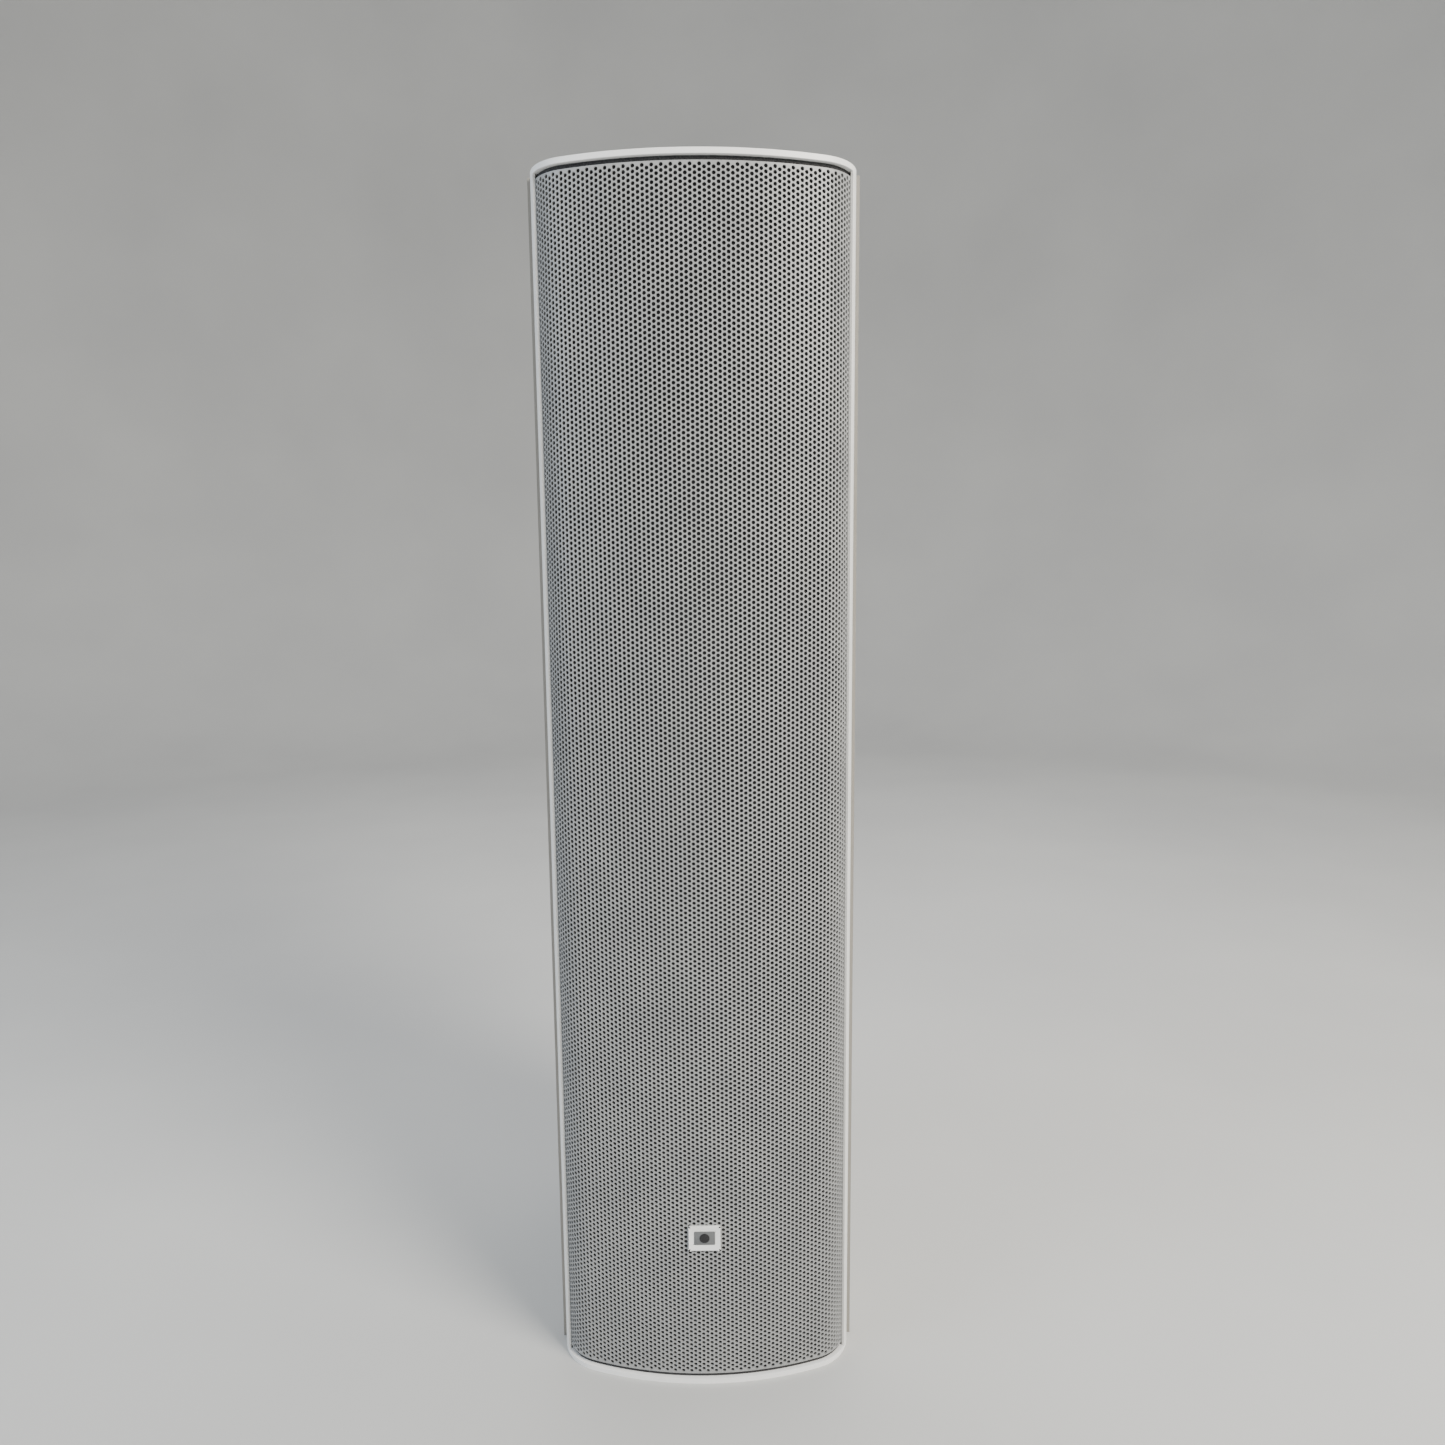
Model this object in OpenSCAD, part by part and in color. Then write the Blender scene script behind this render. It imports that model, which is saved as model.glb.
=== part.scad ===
// Column loudspeaker for installed sound, in millimetres.
// +Z is up, the grille faces -Y, and the origin is the middle of the footprint.

/* [Cabinet] */
// Overall height
cabinet_h = 684; // [560:1:840]
// Width across the two front side lips
frame_w = 174; // [160:1:212]
// Overall depth, from the front of the caps to the back
cabinet_d = 237; // [195:1:290]
// How far the rear shell stands out beyond the lips on each side
shell_step = 2.5; // [1:0.5:4]
// Wall of the shell's sides
side_wall = 5; // [3:0.5:7]
// Wall of the shell's top and bottom
end_wall = 6; // [4:0.5:8]
// Wall of the shell's back
back_wall = 8; // [7:0.5:12]
// Width of the flat back face
back_flat_w = 104; // [96:1:130]
// Radius of the upright rear corners
back_corner_r = 14; // [8:1:20]
// Length of the parallel part of the shell's sides
straight_side = 60; // [30:1:80]

/* [Front] */
// Radius of the bowed front
front_r = 196; // [170:1:260]
// Radius where the bowed front turns into the sides
corner_r = 29; // [20:1:36]
// Width of a side lip, seen from the front
lip_w = 3; // [2:0.5:5]
// Thickness of a side lip's free edge
lip_t = 1.3; // [1:0.1:1.4]
// Visible rim of an end cap
cap_rim = 3; // [2:0.5:5]
// Depth of the cap's block behind the foam
cap_plug = 9; // [6:1:14]
// How far the grille sits inside the cap's outline
grille_inset = 1.5; // [1.4:0.1:3]
// Thickness of the grille's sheet
grille_t = 1; // [0.8:0.1:1.4]
// Dark gap between a cap and the end of the grille
grille_gap = 2.6; // [1:0.1:3.5]
// Thickness of the foam behind the grille
foam_t = 4; // [2:0.5:5]
// Distance from the front of the caps to the baffle's face
baffle_setback = 46; // [44:1:56]
// Thickness of the baffle
baffle_t = 8; // [6:0.5:10]

/* [Badge] */
// Width of the badge
badge_w = 18.4; // [12:0.1:26]
// Height of the badge
badge_h = 15; // [10:0.1:20]
// Height of the badge's middle above the base
badge_z = 92.5; // [60:0.5:120]

/* [Woofers] */
// Outer radius of a woofer's frame
woofer_r = 66; // [55:0.5:67]
// Thickness of a woofer's flange
flange_t = 4; // [3:0.5:5]
// Depth of a woofer's basket behind the baffle's face
basket_depth = 38; // [34:1:50]
// Width of a woofer's flange
flange_w = 11; // [10:0.5:12]
// Radius of the woofer's voice coil former
coil_r = 13; // [12:0.1:16]
// Radial gap on each side of the voice coil
coil_gap = 0.4; // [0.3:0.05:0.6]
// Outer radius of the ring magnet
magnet_r = 40; // [36:0.5:48]
// Thickness of the ring magnet
magnet_t = 15; // [10:0.5:20]
// Travel of a cone each way from rest
cone_travel = 4; // [2:0.5:5]

/* [Tweeters] */
// Distance between neighbouring tweeters
tweeter_pitch = 39; // [36:0.5:60]
// Radius of a tweeter's faceplate
tweeter_r = 17; // [15:0.5:17.5]
// Radius of a tweeter's dome
dome_r = 12.2; // [9:0.1:12.4]
// Width of the tweeter strip
strip_w = 44; // [42:1:56]
// Thickness of the tweeter strip
strip_t = 4; // [3:0.5:5]

/* [Input panel] */
// Width of the input panel
panel_w = 112; // [108:1:112]
// Height of the input panel
panel_h = 72; // [68:1:84]
// Height of the input panel's middle above the base
panel_z = 95; // [80:1:110]
// Depth of the input panel's pocket
pocket_depth = 30; // [26:1:36]
// Travel of a slide switch
switch_travel = 4; // [2:0.5:5]

/* [Mounting] */
// Spacing of the bracket inserts across the back
bracket_x = 70; // [50:1:80]
// Spacing of the bracket inserts up the back
bracket_z = 127; // [100:1:140]
// Radius of an insert's threaded hole, M6 core
insert_bore_r = 2.5; // [2:0.1:4.2]
// Depth of an insert's threaded hole
insert_depth = 12; // [10:1:16]

/* [Hidden] */
WOOFERS = 4;            // one node of each woofer piece for every woofer
WOOFER_PARTS = ["basket", "magnet", "cone", "surround", "spider"];

$fn = 64;
fit = 0.4;              // gap where one moulding drops into another
screw_fit = 0.05;       // radial gap round a screw
moving_gap = 0.3;       // gap between a moving piece and its neighbours
white = "#ecece8";
black = "#1c1c1e";

// the outline of the front, as arcs about three centres
half_w = frame_w / 2;
shell_half_w = half_w + shell_step;
front_y = -cabinet_d / 2;
back_y = cabinet_d / 2;
corner_x = half_w - corner_r;
turn_a = asin(corner_x / (front_r - corner_r));
front_cy = front_y + front_r;
corner_y = front_cy - sqrt(pow(front_r - corner_r, 2) - pow(corner_x, 2));
lip_root = 5;           // thickness of a lip's root
root_back = 4;          // how far the root reaches forward of the corner's centre
split_y = corner_y + 3; // where the baffle's moulding meets the shell
foam_inset = grille_inset + grille_t + 0.2;
foam_back_inset = foam_inset + foam_t;
baffle_y = front_y + baffle_setback;
baffle_back_y = baffle_y + baffle_t;
gasket_t = 1.5;
ledge_y = baffle_back_y + gasket_t;
ledge_t = 8;
ledge_w = 12;
inner_half_w = shell_half_w - side_wall;
inner_back_y = back_y - back_wall;
shelf_t = 4;
plug_inset = foam_back_inset + 0.3;

// drivers
baffle_hole_r = woofer_r - 9;
end_margin = 12;
woofer_pitch = (cabinet_h - 2 * end_margin) / WOOFERS;
function woofer_z(n) = end_margin + (n - 0.5) * woofer_pitch;
function between_z(n) = end_margin + n * woofer_pitch;
brace_t = 8;
strip_margin = 18;
strip_y = front_y + foam_back_inset + 3;
tweeters = floor((cabinet_h - 2 * strip_margin - 12) / tweeter_pitch);
function tweeter_z(i) = cabinet_h / 2 + (i - (tweeters + 1) / 2) * tweeter_pitch;
leg_t = 4;
leg_h = 11;
foot_w = 14;
foot_t = 3;
leg_spots = concat([strip_margin + leg_h / 2], [for (n = [1:WOOFERS - 1]) between_z(n)],
                   [cabinet_h - strip_margin - leg_h / 2]);

// crossover
board_w = 104;
board_h = 124;
board_t = 1.6;
standoff_h = 10;
board_y = inner_back_y - standoff_h;
board_z = (between_z(3) + brace_t / 2 + cabinet_h - end_wall) / 2;

// input panel
panel_t = 3;
panel_gasket_t = 1;
pocket_w = panel_w - 20;
pocket_h = panel_h - 20;
pocket_wall = 2.5;
pocket_floor_y = back_y - pocket_depth + pocket_wall;
barrier_base = 8;
switch_x = 20;
switch_z = panel_z - 14;
knob = [6, 4.4];
housing = [24, 11, 8];

function arc(c, r, a0, a1, n) = [for (i = [0:n]) let(a = a0 + (a1 - a0) * i / n)
    [c[0] + r * sin(a), c[1] - r * cos(a)]];

// front outline from the left round to the right, moved in by inset; end_a is where it stops on
// the corners, 90 being the full turn into the sides
function front_curve(inset, end_a = 90) = concat(
    arc([-corner_x, corner_y], corner_r - inset, -end_a, -turn_a, 12),
    arc([0, front_cy], front_r - inset, -turn_a * 11 / 12, turn_a * 11 / 12, 22),
    arc([corner_x, corner_y], corner_r - inset, turn_a, end_a, 12));

// where on a corner a point lies that is back millimetres in front of the corner's centre
function corner_a(inset, back) = acos(back / (corner_r - inset));

// y of the bowed front at a distance x from the middle, moved in by inset
function bow_y(inset, x = 0) = front_cy - sqrt(pow(front_r - inset, 2) - x * x);

module front_area(inset, to_y) {
    polygon(concat(front_curve(inset), [[half_w - inset, to_y], [inset - half_w, to_y]]));
}

// a strip of even thickness that follows the front outline, open at the back
module front_band(inset, t, end_a) {
    inner = front_curve(inset + t, end_a);
    polygon(concat(front_curve(inset, end_a), [for (i = [len(inner) - 1:-1:0]) inner[i]]));
}

// right side lip: a thin free edge that covers the grille's edge, on a thick root
module lip_area() {
    c = [corner_x, corner_y];
    lip_a = asin((corner_r - lip_w) / corner_r);
    root_a = corner_a(lip_t, root_back);
    polygon(concat(arc(c, corner_r, lip_a, 90, 8), [[half_w, split_y], [half_w - lip_root, split_y]],
                   arc(c, corner_r - lip_root, 90, root_a, 2), arc(c, corner_r - lip_t, root_a, lip_a, 6)));
}

// right half of the shell's outline: side, taper and rear corner
function shell_side(side_in, back_in, from_y) =
    let(hx = shell_half_w - side_in, p = [hx, split_y + straight_side],
        r = max(2, back_corner_r - side_in), c = [back_flat_w / 2, back_y - back_in - r],
        d = p - c, a = atan2(d[1], d[0]) + acos(r / norm(d)))
    concat([[hx, from_y], p], [for (i = [0:8]) let(b = a + (90 - a) * i / 8)
        c + r * [cos(b), sin(b)]]);

module shell_area(side_in, back_in, from_y) {
    right = shell_side(side_in, back_in, from_y);
    left = [for (i = [len(right) - 1:-1:0]) [-right[i][0], right[i][1]]];
    polygon(concat(right, left));
}

module slab(z0, z1) {
    translate([0, 0, z0]) linear_extrude(z1 - z0) children();
}

// a box from its lowest to its highest corner
module box(a, b) {
    translate(a) cube(b - a);
}

// children drawn about +Z, turned so that +Z points to the back at (x, y, z)
module facing_back(x, y, z) {
    translate([x, y, z]) rotate([-90, 0, 0]) children();
}

module ring(r_out, r_in, h) {
    difference() {
        cylinder(r = r_out, h = h);
        translate([0, 0, -1]) cylinder(r = r_in, h = h + 2);
    }
}

// pan-head screw: the head's underside is at z = 0, and the shank points to +Z
module screw(r, length, head_r, head_h) {
    union() {
        translate([0, 0, -head_h]) difference() {
            cylinder(r = head_r, h = head_h);
            for (a = [0, 90]) rotate(a)
                translate([-head_r * 0.6, -0.4, -1]) cube([head_r * 1.2, 0.8, 1.9]);
        }
        translate([0, 0, -0.01]) cylinder(r = r, h = length);
    }
}

// ---- screw places ----
baffle_screw_r = 2;
baffle_screw_len = baffle_t + gasket_t + 6;
baffle_screw_x = inner_half_w - 7.5;
baffle_screw_end = cap_rim + cap_plug + shelf_t + 6;
module baffle_screw_places() {
    for (side = [-1, 1], i = [0:4])
        facing_back(side * baffle_screw_x, baffle_y,
                    baffle_screw_end + i * (cabinet_h - 2 * baffle_screw_end) / 4) children();
}

cap_screw_r = 1.75;
cap_screw_len = cap_plug + shelf_t;
cap_screw_x = half_w / 2;
cap_screw_y = min(baffle_y, split_y) - 10.4;
module cap_screw_places(top) {
    for (side = [-1, 1])
        translate([side * cap_screw_x, cap_screw_y, top ? cabinet_h - cap_rim : cap_rim])
            mirror([0, 0, top ? 1 : 0]) children();
}

woofer_screw_r = 2;
woofer_head_r = 3.4;
woofer_screw_ring = woofer_r - 4;
module woofer_screw_places(n) {
    for (a = [45:90:315])
        facing_back(woofer_screw_ring * cos(a), baffle_y - flange_t - 1,
                    woofer_z(n) + woofer_screw_ring * sin(a)) children();
}

strip_screw_r = 1.5;
module strip_screw_places() {
    for (side = [-1, 1], z = leg_spots)
        facing_back(side * (strip_w / 2 + foot_w / 2 - leg_t / 2), baffle_y - foot_t, z) children();
}

panel_screw_r = 1.6;
panel_head_r = 2.9;
panel_head_h = 1.2;
module panel_screw_places() {
    for (sx = [-1, 1], sz = [-1, 1])
        translate([sx * (panel_w / 2 - 5), back_y, panel_z + sz * (panel_h / 2 - 5)])
            rotate([90, 0, 0]) children();
}

module bracket_places() {
    for (sx = [-1, 1], sz = [-1, 1])
        translate([sx * bracket_x / 2, back_y, cabinet_h / 2 + sz * bracket_z / 2])
            rotate([90, 0, 0]) children();
}

end_insert_y = 50;
module end_insert_places() {
    translate([0, end_insert_y, cabinet_h]) rotate([180, 0, 0]) children();
    translate([0, end_insert_y, 0]) children();
}
insert_r = 4.5;
insert_boss_r = 8;

// ---- cabinet ----
module rear_shell() {
    color(white) difference() {
        union() {
            difference() {
                slab(0, cabinet_h) shell_area(0, 0, split_y);
                slab(end_wall, cabinet_h - end_wall) shell_area(side_wall, back_wall, split_y - 1);
            }
            // ledge that the baffle is screwed to
            difference() {
                box([-inner_half_w, ledge_y, end_wall],
                    [inner_half_w, ledge_y + ledge_t, cabinet_h - end_wall]);
                box([ledge_w - inner_half_w, ledge_y - 1, end_wall + ledge_w],
                    [inner_half_w - ledge_w, ledge_y + ledge_t + 1, cabinet_h - end_wall - ledge_w]);
            }
            // bosses behind the inserts and the input panel's screws
            bracket_places() translate([0, 0, back_wall / 2])
                cylinder(r = insert_boss_r, h = insert_depth + 4 - back_wall / 2);
            end_insert_places() translate([0, 0, end_wall / 2])
                cylinder(r = insert_boss_r, h = insert_depth + 4 - end_wall / 2);
            panel_screw_places() translate([0, 0, back_wall - 2]) cylinder(r = 4.5, h = 10);
        }
        // recess and opening for the input panel
        box([-panel_w / 2 - fit / 2, back_y - panel_t - panel_gasket_t, panel_z - panel_h / 2 - fit / 2],
            [panel_w / 2 + fit / 2, back_y + 1, panel_z + panel_h / 2 + fit / 2]);
        box([-pocket_w / 2 - fit, back_y - back_wall - 12, panel_z - pocket_h / 2 - fit],
            [pocket_w / 2 + fit, back_y + 1, panel_z + pocket_h / 2 + fit]);
        panel_screw_places() translate([0, 0, -1])
            cylinder(r = panel_screw_r + screw_fit, h = 1 + panel_t + 12 + 0.5);
        bracket_places() translate([0, 0, -1]) cylinder(r = insert_r + 0.02, h = insert_depth + 1);
        end_insert_places() translate([0, 0, -1]) cylinder(r = insert_r + 0.02, h = insert_depth + 1);
        baffle_screw_places()
            cylinder(r = baffle_screw_r + screw_fit, h = baffle_screw_len + 0.5);
    }
}

module front_baffle() {
    z0 = end_wall + fit;
    z1 = cabinet_h - end_wall - fit;
    color(white) difference() {
        union() {
            box([fit - inner_half_w, baffle_y, z0], [inner_half_w - fit, baffle_back_y, z1]);
            for (side = [0, 1]) mirror([side, 0, 0]) union() {
                slab(cap_rim, cabinet_h - cap_rim) lip_area();
                box([half_w - lip_root, split_y - 1, z0], [inner_half_w - fit, baffle_y + 1, z1]);
            }
            // shelves that the end caps are screwed to
            for (z = [cap_rim + cap_plug, cabinet_h - cap_rim - cap_plug - shelf_t])
                slab(z, z + shelf_t) intersection() {
                    front_area(plug_inset, baffle_y + 1);
                    translate([-half_w, cap_screw_y - 8]) square([frame_w, baffle_y + 9 - cap_screw_y]);
                }
        }
        for (n = [1:WOOFERS]) facing_back(0, baffle_y - 1, woofer_z(n))
            cylinder(r = baffle_hole_r, h = baffle_t + 2, $fn = 96);
        for (n = [1:WOOFERS]) woofer_screw_places(n)
            cylinder(r = woofer_screw_r + screw_fit, h = flange_t + baffle_t + 3);
        baffle_screw_places() translate([0, 0, -1])
            cylinder(r = baffle_screw_r + screw_fit, h = baffle_t + 2);
        strip_screw_places() cylinder(r = strip_screw_r + screw_fit, h = foot_t + 7);
        for (top = [false, true]) cap_screw_places(top)
            cylinder(r = cap_screw_r + screw_fit, h = cap_screw_len + 1);
        facing_back(loom_feed_x, baffle_y - 1, loom_feed_z)
            cylinder(r = loom_r + 0.1, h = baffle_t + 2);
    }
}

module end_cap(top) {
    z_rim = top ? cabinet_h - cap_rim : 0;
    z_plug = top ? cabinet_h - cap_rim - cap_plug : cap_rim;
    color(white) difference() {
        union() {
            slab(z_rim, z_rim + cap_rim) front_area(0, split_y);
            slab(z_plug, z_plug + cap_plug) intersection() {
                front_area(plug_inset, split_y - fit);
                translate([-half_w, front_y]) square([frame_w, baffle_setback - fit]);
            }
        }
        cap_screw_places(top) union() {
            translate([0, 0, -cap_rim - 1]) cylinder(r = 4, h = cap_rim + 1);
            cylinder(r = cap_screw_r + screw_fit, h = cap_plug + 1);
        }
    }
}

module top_cap() { end_cap(true); }
module bottom_cap() { end_cap(false); }

grille_z0 = cap_rim + grille_gap;
module grille() {
    color("#a8aaac") slab(grille_z0, cabinet_h - grille_z0)
        front_band(grille_inset, grille_t, corner_a(grille_inset, root_back + 0.6));
}

module grille_foam() {
    color(black) slab(cap_rim + 0.2, cabinet_h - cap_rim - 0.2)
        front_band(foam_inset, foam_t, corner_a(foam_inset, root_back + 1.4));
}

badge_t = 1.4;
badge_y = bow_y(grille_inset);
module badge_plate() {
    y0 = badge_y - badge_t;
    color(white) difference() {
        box([-badge_w / 2, y0, badge_z - badge_h / 2], [badge_w / 2, badge_y + 1, badge_z + badge_h / 2]);
        slab(0, cabinet_h) front_area(grille_inset, 0);
        box([-badge_w / 2 + 3, y0 - 1, badge_z - badge_h / 2 + 3.2],
            [badge_w / 2 - 3, y0 + 0.8, badge_z + badge_h / 2 - 3.2]);
    }
}

module badge_inlay() {
    y0 = badge_y - badge_t;
    color("#4a4c4e") box([-badge_w / 2 + 3.1, y0 + 0.2, badge_z - badge_h / 2 + 3.3],
                         [badge_w / 2 - 3.1, y0 + 0.8, badge_z + badge_h / 2 - 3.3]);
}

module baffle_gasket() {
    z0 = end_wall + fit;
    color(black) difference() {
        box([fit - inner_half_w, baffle_back_y, z0], [inner_half_w - fit, ledge_y, cabinet_h - z0]);
        box([ledge_w - inner_half_w, baffle_back_y - 1, end_wall + ledge_w],
            [inner_half_w - ledge_w, ledge_y + 1, cabinet_h - end_wall - ledge_w]);
        baffle_screw_places() cylinder(r = baffle_screw_r + screw_fit, h = baffle_screw_len);
    }
}

module baffle_screws() {
    color("dimgray") baffle_screw_places() screw(baffle_screw_r, baffle_screw_len, 3.5, 2.4);
}

module cap_screws() {
    color("silver") for (top = [false, true]) cap_screw_places(top)
        translate([0, 0, -0.01]) screw(cap_screw_r, cap_screw_len, 3.6, 2.2);
}

module internal_braces() {
    color("#b9a98a") for (n = [1:WOOFERS - 1]) difference() {
        slab(between_z(n) - brace_t / 2, between_z(n) + brace_t / 2)
            shell_area(side_wall, back_wall, ledge_y + ledge_t + 0.5);
        // windows that let the air and the wires through
        box([-30, ledge_y + ledge_t + 20, 0], [30, inner_back_y - 30, cabinet_h]);
        translate([loom_x, loom_y, 0]) cylinder(r = loom_r + 1, h = cabinet_h);
    }
}

module acoustic_wadding() {
    edges = concat([end_wall], [for (n = [1:WOOFERS - 1]) between_z(n)], [cabinet_h - end_wall]);
    y0 = baffle_y + basket_depth + 3 + 10 + magnet_t + 7;
    color("#dfe3e6") difference() {
        for (n = [0:WOOFERS - 1])
            box([-36, y0, edges[n] + (n == 0 ? 20 : brace_t / 2)],
                [36, inner_back_y - 58, edges[n + 1] - (n == WOOFERS - 1 ? 20 : brace_t / 2)]);
        // way through for the tweeters' wires
        facing_back(loom_feed_x, y0 - 1, loom_feed_z) cylinder(r = loom_r + 1, h = cabinet_d);
    }
}

module insert() {
    ring(insert_r, insert_bore_r, insert_depth);
}
module rear_inserts() { color("#b08d45") bracket_places() insert(); }
module end_inserts() { color("#b08d45") end_insert_places() insert(); }

// ---- woofers: drawn about +Z, which points to the back, from the baffle's face ----
flange_z = -flange_t - 1;
rim_in = woofer_r - flange_w;
cone_r = rim_in - 5;
surround_w = 3.4;
roll_r = cone_r + surround_w - 0.3;
plate_t = 5;
basket_plate = 3;
magnet_z = basket_depth + basket_plate;
pole_r = coil_r - 0.5 - coil_gap;
spider_z = basket_depth - 8;
spider_r = magnet_r - 7;
basket_back_r = magnet_r - 4;   // inside radius of the basket where its wall meets the plate
// inside radius of the basket's wall at a depth z
function basket_r(z) = rim_in - 1 - (rim_in - 1 - basket_back_r) * (z + 1) / (basket_depth + 1);

module woofer_gaskets() {
    color(black) for (n = [1:WOOFERS]) difference() {
        facing_back(0, baffle_y - 1, woofer_z(n)) ring(woofer_r, baffle_hole_r, 1);
        woofer_screw_places(n) cylinder(r = woofer_screw_r + screw_fit, h = flange_t + 2);
    }
}

module woofer_basket(n) {
    color("#2c2d30") difference() {
        facing_back(0, baffle_y, woofer_z(n)) union() {
            rotate_extrude($fn = 96) polygon([
                [rim_in, flange_z], [woofer_r, flange_z], [woofer_r, -1], [rim_in + 1, -1],
                [basket_back_r + 2, magnet_z], [coil_r + 2, magnet_z], [coil_r + 2, basket_depth],
                [basket_back_r, basket_depth], [rim_in - 1, -1]]);
            translate([0, 0, spider_z + 1]) ring(basket_r(spider_z + 1) + 0.5, spider_r - 4, 2);
        }
        // windows in the basket's wall
        facing_back(0, baffle_y, woofer_z(n)) for (a = [0:60:300]) rotate(a)
            translate([spider_r, -11, 9]) cube([30, 22, spider_z - 11]);
        woofer_screw_places(n) cylinder(r = woofer_screw_r + screw_fit, h = flange_t + 2);
    }
}

module woofer_magnet(n) {
    color("#5b5d61") facing_back(0, baffle_y, woofer_z(n)) difference() {
        union() {
            translate([0, 0, magnet_z]) ring(magnet_r - 5, coil_r + coil_gap, plate_t);
            translate([0, 0, magnet_z + plate_t]) ring(magnet_r, coil_r + 5, magnet_t);
            translate([0, 0, magnet_z + plate_t + magnet_t]) cylinder(r = magnet_r - 2, h = plate_t);
            translate([0, 0, magnet_z]) cylinder(r = pole_r, h = plate_t + magnet_t + 1);
        }
        translate([0, 0, magnet_z - 1]) cylinder(r = 4, h = 2 * plate_t + magnet_t + 2);
    }
}

// paper cone with its voice coil former and dust cap, one rigid moving piece
module woofer_cone(n) {
    neck_z = basket_depth - 16;
    former_z = magnet_z + plate_t + cone_travel;
    cap_r = 15;
    cap_h = 6;
    cap_sphere = (cap_r * cap_r + cap_h * cap_h) / (2 * cap_h);
    cap_z = neck_z - 2.6;
    rise = (neck_z + 4) / (cone_r - coil_r);
    color("#3a3b3d") facing_back(0, baffle_y, woofer_z(n)) rotate_extrude($fn = 96) polygon(concat(
        [[cone_r, -5.2], [cone_r, -4], [coil_r, neck_z], [coil_r, former_z],
         [coil_r - 0.5, former_z], [coil_r - 0.5, neck_z - 0.4]],
        [for (i = [0:6]) let(r = (coil_r - 1) * (1 - i / 6))
            [r, cap_z - cap_h + cap_sphere - sqrt(pow(cap_sphere, 2) - r * r) + 0.9]],
        [for (i = [0:6]) let(r = cap_r * i / 6)
            [r, cap_z - cap_h + cap_sphere - sqrt(pow(cap_sphere, 2) - r * r)]],
        [[cap_r + 0.1, neck_z - (cap_r + 0.1 - coil_r) * rise - 1.2]]));
}

module woofer_surround(n) {
    rim_r = roll_r + surround_w - 0.6;
    color("#232325") facing_back(0, baffle_y, woofer_z(n)) rotate_extrude($fn = 96) union() {
        intersection() {
            translate([roll_r, flange_z - 0.5]) difference() {
                circle(r = surround_w);
                circle(r = surround_w - 0.7);
            }
            translate([roll_r - 5, flange_z - 6]) square([10, 5.5]);
        }
        translate([cone_r - 2.2, flange_z - 1.2]) square([2.4, 0.7]);
        translate([rim_r, flange_z - 1.2]) square([woofer_screw_ring - woofer_head_r - 0.3 - rim_r, 1.2]);
    }
}

module woofer_spider(n) {
    r0 = coil_r + moving_gap;
    r1 = spider_r - 5;
    waves = [for (i = [0:18]) let(r = r0 + 1 + (r1 - r0 - 1) * i / 18)
        [r, spider_z + 0.1 + 0.8 * sin(i * 60)]];
    color("#c9a86a") facing_back(0, baffle_y, woofer_z(n)) rotate_extrude($fn = 96) polygon(concat(
        [[r0, spider_z + 0.1]], waves, [[spider_r, spider_z + 0.3], [spider_r, spider_z + 1]],
        [for (i = [len(waves) - 1:-1:0]) waves[i] + [0, 0.7]], [[r0, spider_z + 0.8]]));
}

module woofer_screws() {
    color("dimgray") for (n = [1:WOOFERS]) woofer_screw_places(n)
        screw(woofer_screw_r, flange_t + baffle_t, woofer_head_r, 2);
}

// ---- tweeters ----
module tweeter_places() {
    for (i = [1:tweeters]) facing_back(0, strip_y, tweeter_z(i)) children();
}

module tweeter_strip() {
    color("#202124") difference() {
        union() {
            box([-strip_w / 2, strip_y, strip_margin],
                [strip_w / 2, strip_y + strip_t, cabinet_h - strip_margin]);
            for (side = [0, 1], z = leg_spots) mirror([side, 0, 0]) union() {
                box([strip_w / 2 - leg_t, strip_y + 1, z - leg_h / 2],
                    [strip_w / 2, baffle_y, z + leg_h / 2]);
                box([strip_w / 2 - leg_t, baffle_y - foot_t, z - leg_h / 2],
                    [strip_w / 2 - leg_t + foot_w, baffle_y, z + leg_h / 2]);
            }
        }
        tweeter_places() union() {
            translate([0, 0, -1]) cylinder(r = dome_r + 1.4, h = strip_t + 2);
            translate([0, 0, -0.01]) cylinder(r1 = tweeter_r, r2 = dome_r + 1.4, h = 2);
        }
        strip_screw_places() translate([0, 0, -1])
            cylinder(r = strip_screw_r + screw_fit, h = foot_t + 2);
    }
}

coil_t = 0.3;
module tweeter_bodies() {
    color("#3b3d41") tweeter_places() difference() {
        union() {
            translate([0, 0, strip_t]) cylinder(r = tweeter_r, h = 2.5);
            translate([0, 0, strip_t + 2]) cylinder(r = tweeter_r - 3, h = 12);
        }
        translate([0, 0, strip_t - 1]) cylinder(r = dome_r + 0.8, h = 4.5);
        translate([0, 0, strip_t + 3]) ring(dome_r + 0.8, dome_r - moving_gap, 5);
    }
}

// silk dome with its voice coil: a thin cap on a short tube
module tweeter_domes() {
    dome_h = 4.5;
    sphere_r = (dome_r * dome_r + dome_h * dome_h) / (2 * dome_h);
    base_z = strip_t + 2.8;
    function cap_z(r) = base_z - dome_h + sphere_r - sqrt(sphere_r * sphere_r - r * r);
    color("#4c4740") tweeter_places() rotate_extrude($fn = 48) polygon(concat(
        [for (i = [0:6]) let(r = dome_r * i / 6) [r, cap_z(r)]],
        [[dome_r + coil_t, base_z], [dome_r + coil_t, base_z + 4.2], [dome_r, base_z + 4.2]],
        [for (i = [6:-1:0]) let(r = (dome_r - 0.1) * i / 6) [r, cap_z(r) + 0.4]]));
}

module strip_screws() {
    color("dimgray") strip_screw_places() screw(strip_screw_r, foot_t + 6, 2.8, 1.8);
}

// ---- crossover, on the inside of the back wall; u across and v up the board ----
module on_board(u, v) {
    translate([u, board_y - board_t, board_z + v]) rotate([90, 0, 0]) children();
}

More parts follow.
